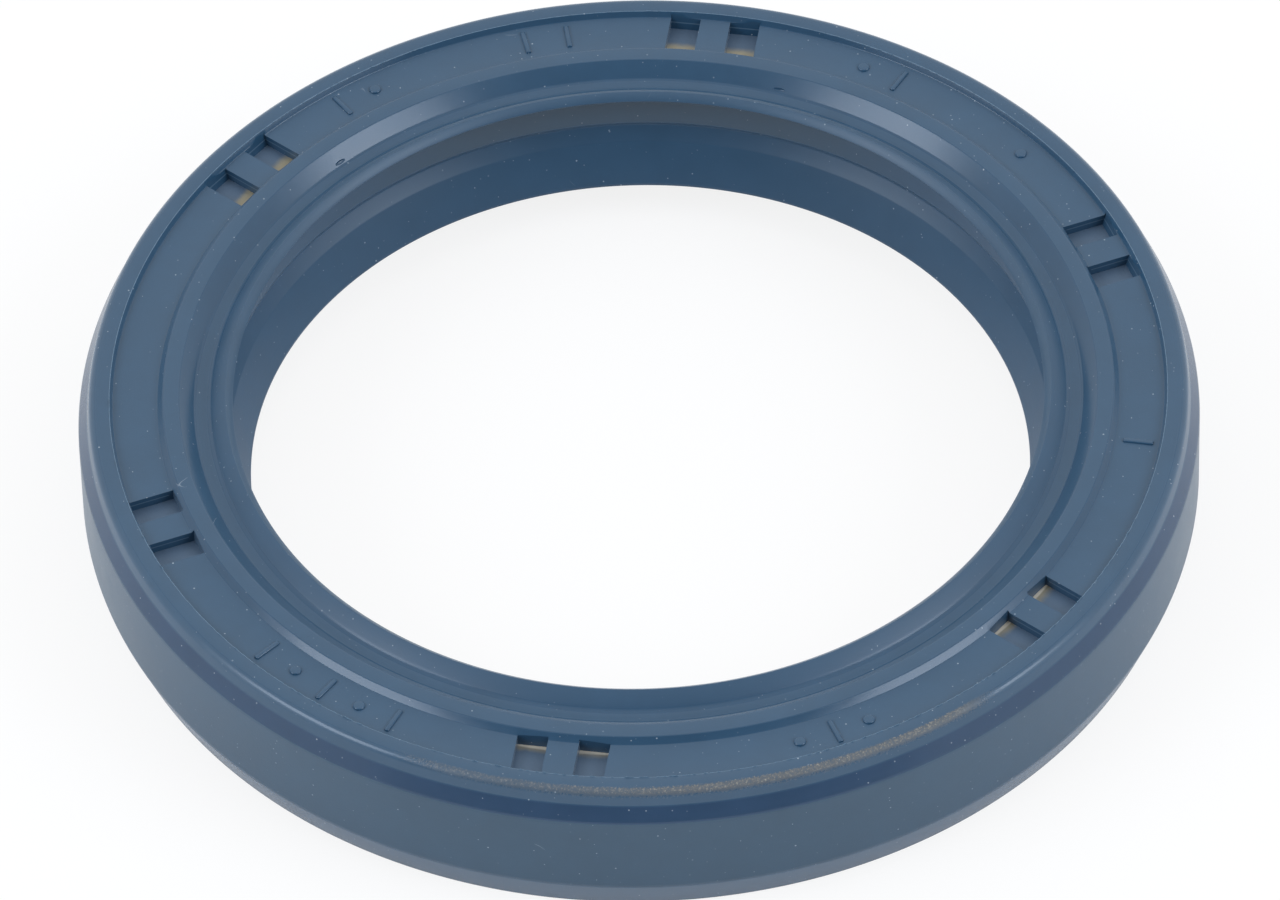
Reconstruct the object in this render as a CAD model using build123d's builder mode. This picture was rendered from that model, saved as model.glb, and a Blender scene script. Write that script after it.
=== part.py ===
from build123d import *
import os
from math import atan2, cos, degrees, radians, sin

# Radial shaft seal with a rubber-covered outside, a sealing lip and a dust lip.
# Three pieces: one rubber moulding, the pressed steel case moulded into it,
# and the garter spring behind the sealing lip.
#
# Frame: millimetres, +Z along the seal's axis. The origin is on the axis, in the
# plane of the oil-side end. The air-side face, with the windows, looks up (+Z).
# The profiles are drawn in the XZ plane, X being the radius, and turned about Z.

# ---------------------------------------------------------------- sizes
# What the seal is bought by: the shaft, and the room round it.
shaft_diameter = 40.0
radial_section = 7.5  # from the shaft's surface to the housing bore
seal_width = 8.0

# Cover: the rubber on the outside diameter.
cover_thickness = 0.9  # rubber outside the case
base_lead_in_height = 2.2  # oil-side chamfer, the end that enters the housing first
base_lead_in_depth = 1.24
shoulder_height = 1.59  # where the air-side bevel starts, below the face
shoulder_break_height = 0.71  # where the bevel gets blunter, below the face
shoulder_break_depth = 0.25
shoulder_depth = 0.63
rim_edge_radius = 0.45

# Air-side face: rim, recessed band and collar.
rim_width = 0.98
collar_width = 0.79
recess_depth = 0.32
recess_wall_run = 0.2  # the recess's two walls lean back

# Steel case: an L in section, flange under the face and leg under the cover.
case_thickness = 0.8
case_bend_radius = 0.2  # inside of the bend
case_cover_depth = 0.94  # rubber over the flange, from the face
case_leg_end = 0.9  # rubber under the leg's end
flange_grip = 0.35  # rubber foot that holds the flange from below
flange_grip_width = 0.95

# Windows in the recessed band, where the mould's pins held the case.
window_pair_count = 6
window_width = 1.5
window_bridge = 1.5  # rubber left between the two windows of a pair
window_rim_bite = 0.085  # the pins just cut into the foot of the rim
window_collar_bite = 0.02  # and of the collar
window_draft_run = 0.18  # both ends of a pin taper towards the metal

# Collar, groove and dust lip. Radii are counted from the shaft's surface,
# heights down from the air-side face.
collar_clearance = 2.49
collar_slope_run = 0.74
collar_slope_drop = 0.7
groove_clearance = 1.12
groove_drop = 0.8
groove_radius = 0.35
dust_lip_foot_radius = 0.6
dust_lip_interference = 0.15
dust_lip_edge_drop = 0.37
dust_lip_tip_run = 0.38  # width of the lip's end face
dust_lip_tip_drop = 0.02
dust_lip_root_clearance = 0.98
dust_lip_root_drop = 1.4
dust_lip_root_radius = 0.35
pocket_foot_clearance = 0.65
pocket_foot_drop = 2.68

# Sealing lip. Its edge stands inside the shaft's surface until it is fitted.
seal_lip_interference = 0.65
seal_edge_height = 2.35  # above the oil-side end
seal_edge_band = 0.15  # the cylindrical contact band
seal_cone_clearance = 0.15  # where the air-side cone meets the membrane
seal_cone_drop = 3.5
seal_cone_radius = 0.35  # where the cone bends into the membrane
seal_face_run = 1.0  # the oil-side face, at 45 degrees
nose_radius = 0.2
membrane_thickness = 1.05
membrane_back_radius = 0.45

# Garter spring and its groove. The spring sits above the sealing edge.
spring_coil_diameter = 1.6
spring_seat_clearance = 0.02
spring_seat_rubber = 1.05  # between the sealing edge and the spring
spring_offset = 0.4  # the spring's plane above the sealing edge
spring_groove_start = 100.0  # degrees, on the membrane's side
spring_groove_end = 290.0  # degrees, on the retaining nib
nib_thickness = 0.45
nib_lean = 0.12

# ---------------------------------------------------------------- derived places
shaft_radius = shaft_diameter / 2
housing_radius = shaft_radius + radial_section

rim_outer_radius = housing_radius - shoulder_depth
rim_inner_radius = rim_outer_radius - rim_width
collar_inner_radius = shaft_radius + collar_clearance
collar_outer_radius = collar_inner_radius + collar_width
recess_floor = seal_width - recess_depth
recess_floor_inner = collar_outer_radius + recess_wall_run
recess_floor_outer = rim_inner_radius - recess_wall_run

seal_edge_radius = shaft_radius - seal_lip_interference
seal_edge_top = seal_edge_height + seal_edge_band
pocket_foot_radius = shaft_radius + pocket_foot_clearance
pocket_foot_level = seal_width - pocket_foot_drop

spring_groove_radius = spring_coil_diameter / 2 + spring_seat_clearance
spring_ring_radius = seal_edge_radius + spring_seat_rubber + spring_groove_radius
spring_level = seal_edge_height + spring_offset

case_top = seal_width - case_cover_depth
case_under = case_top - case_thickness
case_outer_radius = housing_radius - cover_thickness
case_leg_inner_radius = case_outer_radius - case_thickness
case_outer_bend = case_bend_radius + case_thickness
flange_flat_radius = case_outer_radius - case_outer_bend
flange_inner_radius = shaft_radius + dust_lip_root_clearance + membrane_thickness
flange_grip_radius = flange_inner_radius + flange_grip_width


def spring_groove_point(angle):
    """Point on the wall of the spring groove, angle counted from the radial direction."""
    return (
        spring_ring_radius + spring_groove_radius * cos(radians(angle)),
        spring_level + spring_groove_radius * sin(radians(angle)),
    )


def membrane_back_point(front_radius, level):
    """Point on the membrane's oil-side wall, level with a point on its air-side wall."""
    return (front_radius + membrane_thickness, level)


# ---------------------------------------------------------------- metal_case
# One pressed ring: flat flange, round bend and straight leg, sheet of even thickness.
with BuildPart() as metal_case:
    with BuildSketch(Plane.XZ):
        with BuildLine():
            Polyline(
                (flange_flat_radius, case_under),
                (flange_inner_radius, case_under),
                (flange_inner_radius, case_top),
                (flange_flat_radius, case_top),
            )
            CenterArc((flange_flat_radius, case_top - case_outer_bend), case_outer_bend, 0, 90)
            Polyline(
                (case_outer_radius, case_top - case_outer_bend),
                (case_outer_radius, case_leg_end),
                (case_leg_inner_radius, case_leg_end),
                (case_leg_inner_radius, case_under - case_bend_radius),
            )
            CenterArc((flange_flat_radius, case_under - case_bend_radius), case_bend_radius, 0, 90)
        make_face()
    revolve(axis=Axis.Z)

# ---------------------------------------------------------------- rubber_body
# The moulding's section is one closed outline. It starts at the inner edge of the
# oil-side end and goes round the cover, the face, the two lips, the spring groove
# and the membrane's back, and it comes home along the surface of the steel case.
cover_and_face = [
    # (radius, height, corner radius)
    (case_leg_inner_radius, 0.0, 0.0),
    (housing_radius - base_lead_in_depth, 0.0, 0.15),
    (housing_radius, base_lead_in_height, 0.3),
    (housing_radius, seal_width - shoulder_height, 0.2),
    (housing_radius - shoulder_break_depth, seal_width - shoulder_break_height, 0.2),
    (rim_outer_radius, seal_width, rim_edge_radius),
    (rim_inner_radius, seal_width, 0.0),
    (recess_floor_outer, recess_floor, 0.0),
    (recess_floor_inner, recess_floor, 0.0),
    (collar_outer_radius, seal_width, 0.0),
    (collar_inner_radius, seal_width, 0.0),
    (collar_inner_radius - collar_slope_run, seal_width - collar_slope_drop, groove_radius),
    (shaft_radius + groove_clearance, seal_width - groove_drop, dust_lip_foot_radius),
]
lips = [
    (
        shaft_radius - dust_lip_interference + dust_lip_tip_run,
        seal_width - dust_lip_tip_drop,
        0.0,
    ),
    (shaft_radius - dust_lip_interference, seal_width - dust_lip_edge_drop, 0.0),
    (
        shaft_radius + dust_lip_root_clearance,
        seal_width - dust_lip_root_drop,
        dust_lip_root_radius,
    ),
    (pocket_foot_radius, pocket_foot_level, 0.0),
    (shaft_radius + seal_cone_clearance, seal_width - seal_cone_drop, seal_cone_radius),
    (seal_edge_radius, seal_edge_top, 0.0),
    (seal_edge_radius, seal_edge_height, 0.0),
    (seal_edge_radius + seal_face_run, seal_edge_height - seal_face_run, nose_radius),
]

# The retaining nib ends at the groove's lower lip and leans with it.
nib_edge = spring_groove_point(spring_groove_end)
nib_foot = (nib_edge[0], nib_edge[1] - nib_thickness)
nib_tip = (nib_edge[0] + nib_lean, nib_edge[1] - nib_thickness / 2)

membrane_back = [
    spring_groove_point(spring_groove_start),
    membrane_back_point(shaft_radius + seal_cone_clearance, seal_width - seal_cone_drop),
    membrane_back_point(pocket_foot_radius, pocket_foot_level),
    (flange_inner_radius, case_under - flange_grip),
    (flange_grip_radius, case_under - flange_grip),
    (flange_grip_radius, case_under),
    (flange_inner_radius, case_under),
    (flange_inner_radius, case_top),
    (flange_flat_radius, case_top),
]
membrane_back_corners = [membrane_back_radius] * 3 + [0.15, 0.0, 0.0, 0.0]

with BuildPart() as rubber_body:
    with BuildSketch(Plane.XZ):
        with BuildLine():
            outline = cover_and_face + lips
            FilletPolyline(
                *[(radius, height) for radius, height, _ in outline],
                nib_foot,
                radius=[corner for _, _, corner in outline[1:]],
            )
            ThreePointArc(nib_foot, nib_tip, nib_edge)
            ThreePointArc(
                nib_edge,
                spring_groove_point((spring_groove_start + spring_groove_end) / 2),
                spring_groove_point(spring_groove_start),
            )
            FilletPolyline(*membrane_back, radius=membrane_back_corners)
            CenterArc((flange_flat_radius, case_top - case_outer_bend), case_outer_bend, 0, 90)
            Polyline(
                (case_outer_radius, case_top - case_outer_bend),
                (case_outer_radius, case_leg_end),
                (case_leg_inner_radius, case_leg_end),
                (case_leg_inner_radius, 0.0),
            )
        make_face()
    revolve(axis=Axis.Z)

    # Windows: each pair is cut by two straight-sided pins that stand side by side,
    # down to the flange. Every pin's section lies in a plane along its own length.
    pin_offset = (window_width + window_bridge) / 2
    pair_half_width = window_bridge / 2 + window_width

    def along_pin(radius):
        """Distance along a pin at which its far corner is at this radius."""
        return (radius**2 - pair_half_width**2) ** 0.5

    window_end = along_pin(recess_floor_outer + window_rim_bite)
    window_start = along_pin(recess_floor_inner - window_collar_bite)
    window_planes = []
    for pair in range(window_pair_count):
        turn = radians(360 / window_pair_count * pair)
        outward = Vector(cos(turn), sin(turn), 0)
        sideways = Vector(-sin(turn), cos(turn), 0)
        for side in (-1, 1):
            window_planes.append(
                Plane(origin=sideways * (side * pin_offset), x_dir=outward, z_dir=-sideways)
            )
    with BuildSketch(*window_planes):
        with BuildLine():
            Polyline(
                (window_start + window_draft_run, case_top),
                (window_end - window_draft_run, case_top),
                (window_end, recess_floor),
                (window_end, seal_width),
                (window_start, seal_width),
                (window_start, recess_floor),
                close=True,
            )
        make_face()
    extrude(amount=window_width / 2, both=True, mode=Mode.SUBTRACT)

# ---------------------------------------------------------------- garter_spring
# The closed coil as the ring that it fills. It rests in the groove of the lip.
with BuildPart() as garter_spring:
    with BuildSketch(Plane.XZ):
        with Locations((spring_ring_radius, spring_level)):
            Circle(spring_coil_diameter / 2)
    revolve(axis=Axis.Z)

# ---------------------------------------------------------------- hand-out
rubber_body.part.label = "rubber_body"
metal_case.part.label = "metal_case"
garter_spring.part.label = "garter_spring"

os.makedirs("parts", exist_ok=True)
export_step(rubber_body.part, "parts/rubber_body.step")
export_step(metal_case.part, "parts/metal_case.step")
export_step(garter_spring.part, "parts/garter_spring.step")

for piece in (rubber_body.part, metal_case.part, garter_spring.part):
    print(f"{piece.label}: {piece.volume:.1f} mm3, {len(piece.faces())} faces")
cone_run = shaft_radius + seal_cone_clearance - seal_edge_radius
cone_rise = seal_width - seal_cone_drop - seal_edge_top
print(f"air-side angle of the sealing lip: {degrees(atan2(cone_run, cone_rise)):.1f} degrees")
print(f"case: flange from {flange_inner_radius:.2f}, leg to {case_outer_radius:.2f} mm radius")
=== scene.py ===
# %% [markdown]
# # A radial shaft seal
#
# The seal is a ring of blue nitrile rubber, moulded round a pressed steel case.
# A garter spring presses its sealing lip on the shaft. It lies on its oil-side
# end, so the air-side face looks up, with six pairs of windows in it.
#
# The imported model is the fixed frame: it says how large the seal is and where
# each of its pieces lies. This lesson gives those pieces their finish.

# %% Load the frame
from math import asin, atan2, cos, degrees, pi, radians, sin, tan, tau

import bmesh
import bpy
from mathutils import Matrix, Vector


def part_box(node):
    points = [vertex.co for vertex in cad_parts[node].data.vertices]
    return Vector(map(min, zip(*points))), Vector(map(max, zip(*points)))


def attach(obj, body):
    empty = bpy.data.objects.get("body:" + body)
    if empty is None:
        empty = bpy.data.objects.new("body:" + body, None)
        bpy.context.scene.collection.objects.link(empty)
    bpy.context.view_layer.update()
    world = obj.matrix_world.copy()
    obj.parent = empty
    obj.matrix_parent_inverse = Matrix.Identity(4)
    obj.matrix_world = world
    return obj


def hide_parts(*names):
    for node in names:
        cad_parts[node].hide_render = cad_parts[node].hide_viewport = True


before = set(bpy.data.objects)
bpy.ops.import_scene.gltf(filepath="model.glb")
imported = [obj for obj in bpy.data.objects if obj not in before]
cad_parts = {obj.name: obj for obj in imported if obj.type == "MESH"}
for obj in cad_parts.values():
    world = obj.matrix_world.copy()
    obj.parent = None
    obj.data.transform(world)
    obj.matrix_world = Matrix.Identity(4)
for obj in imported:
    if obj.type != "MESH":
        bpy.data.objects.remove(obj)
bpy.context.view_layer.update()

MM = 0.001
_, rubber_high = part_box("rubber_body")
seal_radius = rubber_high.x / MM
seal_width = rubber_high.z / MM
print(f"the seal is {2 * seal_radius:.1f} mm across and {seal_width:.1f} mm wide")
print("its pieces:", ", ".join(sorted(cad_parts)))

# %% [markdown]
# ## The camera
#
# The seal is seen from above its near edge, through a long lens from a good half
# metre away, so the ring shows almost no perspective. The camera is turned a
# little about its own axis. Its three axes are worked out and set as one matrix,
# because a tilt, a turn and a roll are easy to mix up as three angles.

# %% Camera
camera_azimuth = -20.08  # degrees from the -Y side
camera_elevation = 46.604
camera_distance = 658.59 * MM
camera_roll = radians(1.679)
camera_lens = 376.66  # mm, on a 36 mm sensor
aim_below_middle = 0.492 * MM


def direction(azimuth, elevation):
    """Unit vector from the seal. Azimuth 0 is -Y and 90 is +X."""
    a, e = radians(azimuth), radians(elevation)
    return Vector((sin(a) * cos(e), -cos(a) * cos(e), sin(e)))


camera_back = direction(camera_azimuth, camera_elevation)
level_right = direction(camera_azimuth + 90, 0)
level_up = camera_back.cross(level_right)
camera_right = level_right * cos(camera_roll) - level_up * sin(camera_roll)
camera_up = level_right * sin(camera_roll) + level_up * cos(camera_roll)
aim = Vector((0, 0, seal_width / 2 * MM)) - level_up * aim_below_middle

camera_data = bpy.data.cameras.new("camera")
camera_data.sensor_width = 36
camera_data.lens = camera_lens
camera_data.clip_start = 0.01
camera_data.clip_end = 10
camera = bpy.data.objects.new("camera", camera_data)
bpy.context.scene.collection.objects.link(camera)
camera_axes = Matrix((camera_right, camera_up, camera_back)).transposed().to_4x4()
camera.matrix_world = Matrix.Translation(aim + camera_back * camera_distance) @ camera_axes
bpy.context.scene.camera = camera
bpy.context.scene.view_settings.view_transform = "Standard"
print(f"the camera is {camera_distance:.3f} m from the seal")

# %% [markdown]
# ## The light
#
# Satin rubber shows its lights more than its colour. A softbox stands on the left
# and one on the right, a little to the camera's side of the seal. Each is a wide,
# faint cloth with a bright middle, which draws the streaks on the bevels. The room
# behind and above is bright, which gives the level faces their pale sheen. On the
# camera's side it is dark, so bevels that face the camera stay deep blue.
#
# Area lamps are placed by direction, because only the direction matters here, and
# their power is worked out from the brightness that a reflection of them has.

# %% Softboxes
softbox_distance = 1.2
softbox_azimuth = 66  # to either side of the camera
softbox_tint = (0.76, 0.86, 1.0)


def area_lamp(name, azimuth, elevation, half_width, half_height, brightness):
    """A rectangular lamp that looks at the seal.

    Its half sizes are degrees as seen from there. Brightness 1 is a white surface.
    """
    lamp = bpy.data.lights.new(name, "AREA")
    lamp.shape = "RECTANGLE"
    lamp.color = softbox_tint
    lamp.size = 2 * softbox_distance * tan(radians(half_width))
    lamp.size_y = 2 * softbox_distance * tan(radians(half_height))
    lamp.energy = brightness * pi * lamp.size * lamp.size_y
    holder = bpy.data.objects.new(name, lamp)
    bpy.context.scene.collection.objects.link(holder)
    towards = direction(azimuth, elevation)
    holder.location = towards * softbox_distance
    holder.rotation_euler = towards.to_track_quat("Z", "Y").to_euler()
    print(f"{name}: {lamp.energy:.1f} W")


for side, turn_by in (("left", -softbox_azimuth), ("right", softbox_azimuth)):
    azimuth = camera_azimuth + turn_by
    area_lamp(
        f"softbox_{side}", azimuth,
        elevation=26, half_width=20, half_height=25, brightness=1.0,
    )
    area_lamp(
        f"softbox_middle_{side}", azimuth,
        elevation=37, half_width=13, half_height=13, brightness=4.2,
    )

# %% [markdown]
# The room is the world shader. Rays from the camera see plain white. Reflections
# and the soft fill see a room that is bright from its back wall over the ceiling
# and falls off towards the camera's side. The fall-off is the dot product of the
# ray's direction with the way to the back wall, stretched by a map range node.
# Glossy and transmission rays get a small share of the white as well.

# %% Room
back_wall = direction(camera_azimuth + 180, 0)
room_bright = 1.0
room_dark = 0.16
reflected_white = 0.08  # share of plain white in what a reflection sees

world = bpy.data.worlds.new("studio")
world.use_nodes = True
bpy.context.scene.world = world
room = world.node_tree
room.nodes.clear()


def add_node(tree, kind, inputs=None, **settings):
    """A node with its settings and with its inputs as values or links."""
    node = tree.nodes.new(kind)
    for name, value in settings.items():
        setattr(node, name, value)
    for name, value in (inputs or {}).items():
        if isinstance(value, bpy.types.NodeSocket):
            tree.links.new(value, node.inputs[name])
        else:
            node.inputs[name].default_value = value
    return node


ray = add_node(room, "ShaderNodeTexCoord")
towards_back = add_node(
    room, "ShaderNodeVectorMath",
    {0: ray.outputs["Generated"], 1: back_wall}, operation="DOT_PRODUCT",
)
falloff = add_node(
    room, "ShaderNodeMapRange",
    {
        "Value": towards_back.outputs["Value"], "From Min": -0.75, "From Max": -0.1,
        "To Min": room_dark, "To Max": room_bright,
    },
    interpolation_type="SMOOTHSTEP",
)
lit_room = add_node(
    room, "ShaderNodeBackground", {"Color": (1, 1, 1, 1), "Strength": falloff.outputs["Result"]},
)
white_room = add_node(room, "ShaderNodeBackground", {"Color": (1, 1, 1, 1), "Strength": 1})


def white_share(tree, to_camera, to_reflections):
    """How much plain white a ray sees, by the kind of ray it is."""
    path = add_node(tree, "ShaderNodeLightPath")
    mirrored = add_node(
        tree, "ShaderNodeMath",
        {0: path.outputs["Is Glossy Ray"], 1: path.outputs["Is Transmission Ray"]},
        operation="MAXIMUM",
    )
    reflected = add_node(
        tree, "ShaderNodeMath", {0: mirrored.outputs[0], 1: to_reflections}, operation="MULTIPLY",
    )
    total = add_node(
        tree, "ShaderNodeMath",
        {0: path.outputs["Is Camera Ray"], 1: to_camera, 2: reflected.outputs[0]},
        operation="MULTIPLY_ADD",
    )
    return total.outputs[0]


room_mix = add_node(
    room, "ShaderNodeMixShader",
    {0: white_share(room, 1, reflected_white), 1: lit_room.outputs[0], 2: white_room.outputs[0]},
)
add_node(room, "ShaderNodeOutputWorld", {"Surface": room_mix.outputs[0]})
print(f"the room's light runs from {room_dark} to {room_bright}")

# %% [markdown]
# The seal lies on a plain pale table. The table takes the soft shadow as diffuse
# light. A share of its white is given straight to the rays of the camera, so that
# it reads as a white sweep without more light on the seal. Reflections get a
# smaller share, because the seal's lower edges mirror the shadow that it casts.

# %% Table
table_size = 3.0
glow_for_camera = 0.85

bpy.ops.mesh.primitive_plane_add(size=table_size)
table = bpy.context.object
table.name = "table"
table_finish = bpy.data.materials.new("table_white")
table_finish.use_nodes = True
tree = table_finish.node_tree
tree.nodes.clear()
diffuse = add_node(tree, "ShaderNodeBsdfDiffuse", {"Color": (0.9, 0.9, 0.9, 1)})
glow = add_node(tree, "ShaderNodeEmission", {"Color": (1, 1, 1, 1), "Strength": 1})
table_mix = add_node(
    tree, "ShaderNodeMixShader",
    {0: white_share(tree, glow_for_camera, reflected_white),
     1: diffuse.outputs[0], 2: glow.outputs[0]},
)
add_node(tree, "ShaderNodeOutputMaterial", {"Surface": table_mix.outputs[0]})
table.data.materials.append(table_finish)
print(f"the table is {table_size:.0f} m square")

# %% [markdown]
# ## Drawing with a pen in edit mode
#
# A moulded ring is a section turned about an axis. The section is drawn as by
# hand: a plane is merged to one point, and the point is extruded from corner to
# corner. Round corners are vertex bevels, and round grooves are spins of the
# point about the groove's middle.
#
# The finest edges are a twentieth of a millimetre. Some tools round off lengths
# that are that small in metres, so every piece is made with one unit to the
# millimetre and shrunk when it is finished.

# %% Pen
def deselect_all():
    """Leave no object selected, whatever was made before."""
    bpy.ops.object.select_all(action="DESELECT")


def edit_mesh():
    return bmesh.from_edit_mesh(bpy.context.object.data)


def pen_down(name, radius, height):
    """Start a section at one point, in the XZ plane."""
    deselect_all()
    bpy.ops.mesh.primitive_plane_add(size=1)
    bpy.context.object.name = name
    bpy.ops.object.mode_set(mode="EDIT")
    bpy.ops.mesh.merge(type="CENTER")
    bpy.ops.transform.translate(value=(radius, 0, height))


def pen_place():
    """Where the selected point is."""
    return next(v.co.copy() for v in edit_mesh().verts if v.select)


def pen_to(radius, height):
    """Extrude the selected point to a new corner."""
    step = Vector((radius, 0, height)) - pen_place()
    bpy.ops.mesh.extrude_region_move(TRANSFORM_OT_translate={"value": step})


def pen_round(centre, angle, steps):
    """Sweep the selected point about a centre. A positive angle is counterclockwise."""
    side = 1 if angle > 0 else -1
    bpy.ops.mesh.spin(
        steps=steps, angle=radians(abs(angle)), center=(centre[0], 0, centre[1]), axis=(0, side, 0),
    )


def pen_close():
    """Join the last point to the first one, where the section has one gap."""
    for vertex in edit_mesh().verts:
        vertex.select_set(len(vertex.link_edges) == 1)
    bpy.ops.mesh.edge_face_add()


def round_corner(radius, height, corner):
    """Bevel one point of the section to an arc with this corner radius."""
    place = Vector((radius, 0, height))
    steps = 2 if corner < 0.1 else 4 if corner < 0.4 else 6
    bpy.ops.mesh.select_all(action="DESELECT")
    mesh = edit_mesh()
    point = min(mesh.verts, key=lambda v: (v.co - place).length)
    point.select_set(True)
    one, two = (edge.other_vert(point).co - point.co for edge in point.link_edges)
    tangent = corner * tan((pi - one.angle(two)) / 2)
    bpy.ops.mesh.bevel(offset_type="OFFSET", offset=tangent, segments=steps, affect="VERTICES")
    return tangent


print("the pen is ready")

# %% [markdown]
# ## The rubber's section
#
# Every size here is a length in the section of the seal, counted from the shaft,
# from the housing or from the face. The corner radii are those of the mould.
# Where the rubber meets the steel case, it follows the case's surface.

# %% Sizes of the section
shaft_radius = 20.0
lip_edge = shaft_radius - 0.81  # of the sealing lip, without a shaft
shoulder_run = 0.46  # of the bevel that faces outwards under the rim
rim_outer = seal_radius - 0.63
rim_inner = rim_outer - 0.98
collar_inner = shaft_radius + 2.49
collar_outer = collar_inner + 0.79
slope_run = 0.74  # of the slope inside the collar
slope_drop = 0.7
recess_depth = 0.32
rim_wall_run = 0.11  # the recess's two walls lean back, the collar's more
collar_wall_run = 0.28
recess_floor = seal_width - recess_depth

case_low, case_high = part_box("metal_case")
case_radius = case_high.x / MM
case_top = case_high.z / MM
case_leg_end = case_low.z / MM
case_thickness = 0.8
case_bend = 1.0
case_under = case_top - case_thickness
flange_inner = 22.03
flange_grip = 0.95
grip_level = case_under - 0.35

spring_low, spring_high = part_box("garter_spring")
coil_radius = (spring_high.z - spring_low.z) / 2 / MM
coil_level = (spring_high.z + spring_low.z) / 2 / MM
coil_ring = spring_high.x / MM - coil_radius
groove_radius = coil_radius + 0.02
groove_start, groove_end = 290, 100  # degrees round the coil, from nib to membrane
nib_thickness = 0.45
nib_lean = 0.12


def beside_coil(angle):
    """Point on the wall of the spring groove."""
    a = radians(angle)
    return coil_ring + groove_radius * cos(a), coil_level + groove_radius * sin(a)


print(f"case to {case_radius:.2f} mm radius, flange top at {case_top:.2f} mm")
print(f"spring ring of {coil_ring:.2f} mm radius, {2 * coil_radius:.1f} mm thick")

# %% Outline of the rubber
cover_and_face = [
    # radius, height, corner radius
    (case_radius - case_thickness, 0, 0.05),
    (seal_radius - 0.72, 0, 0.15),
    (seal_radius, 1.9, 0.9),
    (seal_radius, seal_width - 1.66, 0.6),
    (seal_radius - shoulder_run, seal_width - 0.76, 0.2),
    (rim_outer, seal_width, 0.45),
    (rim_inner, seal_width, 0.04),
    (rim_inner - rim_wall_run, recess_floor, 0.06),
    (collar_outer + collar_wall_run, recess_floor, 0.06),
    (collar_outer, seal_width, 0.12),
    (collar_inner, seal_width, 0.1),
    (collar_inner - slope_run, seal_width - slope_drop, 0.3),
]
lips = [
    (shaft_radius + 1.12, seal_width - 0.8, 0.6),
    (shaft_radius + 0.23, seal_width - 0.02, 0.04),
    (shaft_radius - 0.15, seal_width - 0.37, 0.04),
    (shaft_radius + 0.98, seal_width - 1.4, 0.35),
    (shaft_radius + 0.62, seal_width - 2.62, 0.1),
    (shaft_radius + 0.7, seal_width - 2.84, 0.1),
    (shaft_radius + 0.15, seal_width - 3.5, 0.35),
    (lip_edge, 2.5, 0.02),
    (lip_edge, 2.35, 0.02),
    (shaft_radius + 0.35, 1.35, 0.2),
]
membrane_back = [
    (shaft_radius + 1.2, seal_width - 3.5, 0.45),
    (shaft_radius + 1.7, seal_width - 2.68, 0.45),
    (flange_inner, grip_level, 0.45),
    (flange_inner + flange_grip, grip_level, 0.12),
]
nib_top = beside_coil(groove_start)
nib_foot = (nib_top[0], nib_top[1] - nib_thickness)
nib_radius = (nib_thickness**2 / 4 + nib_lean**2) / (2 * nib_lean)
nib_middle = (nib_top[0] + nib_lean - nib_radius, nib_top[1] - nib_thickness / 2)
nib_turn = 2 * degrees(asin(nib_thickness / 2 / nib_radius))

outline = cover_and_face + lips
pen_down("rubber_body_fine", *outline[0][:2])
for radius, height, corner in outline[1:]:
    pen_to(radius, height)
pen_to(*nib_foot)
pen_round(nib_middle, nib_turn, 6)
pen_round((coil_ring, coil_level), groove_end - groove_start, 18)
for radius, height, corner in membrane_back:
    pen_to(radius, height)
pen_to(flange_inner + flange_grip, case_under)
pen_to(flange_inner, case_under)
pen_to(flange_inner, case_top)
pen_to(case_radius - case_bend, case_top)
pen_round((case_radius - case_bend, case_top - case_bend), -90, 8)
pen_to(case_radius, case_leg_end)
pen_to(case_radius - case_thickness, case_leg_end)
pen_close()
for radius, height, corner in outline + membrane_back:
    round_corner(radius, height, corner)
print(f"the section has {len(edit_mesh().verts)} points")

# %% [markdown]
# The section is spun about the seal's axis, which is how such a ring is turned
# in the mould's own steel. The spin leaves its first and last section on the same
# place, so they are merged, and only then are the faces turned outwards.

# %% Spin the rubber
ring_steps = 480


def spin_section(steps):
    """Turn the section about the Z axis into a closed ring."""
    bpy.ops.mesh.select_all(action="SELECT")
    bpy.ops.mesh.spin(steps=steps, angle=tau, center=(0, 0, 0), axis=(0, 0, 1))
    bpy.ops.mesh.select_all(action="SELECT")
    bpy.ops.mesh.remove_doubles(threshold=0.0005)
    bpy.ops.mesh.normals_make_consistent(inside=False)
    bpy.ops.object.mode_set(mode="OBJECT")
    return bpy.context.object


rubber = spin_section(ring_steps)
print(f"the rubber ring has {len(rubber.data.polygons)} faces")

# %% [markdown]
# ## Windows
#
# Pins in the mould hold the steel case while the rubber flows round it, and each
# pin leaves a window down to the flange. The pins stand in six pairs and fill the
# recess from the collar to the rim. A pin starts as a cube that stands on the
# recess's level. Its foot is extruded down to the flange, and its end at the rim
# draws in on the way. All twelve are taken from the ring at once by a boolean.
# They reach a little under the flange's surface, where there is no rubber, so that
# no two faces of the ring and the pins lie in the same plane.

# %% Window pins
window_pairs = 6
window_width = 1.5
window_bridge = 1.5
pin_offset = (window_width + window_bridge) / 2
pin_far_corner = window_bridge / 2 + window_width
pin_bottom = case_top - 0.25
pin_top = seal_width + 0.3
collar_bite = 0.02
rim_bite = 0.06
pin_taper = 0.18 / (recess_floor - case_top)  # run of the rim's end, per height


def along_pin(radius):
    """Distance along a pin at which its far corner is at this radius."""
    return (radius**2 - pin_far_corner**2) ** 0.5


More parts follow.
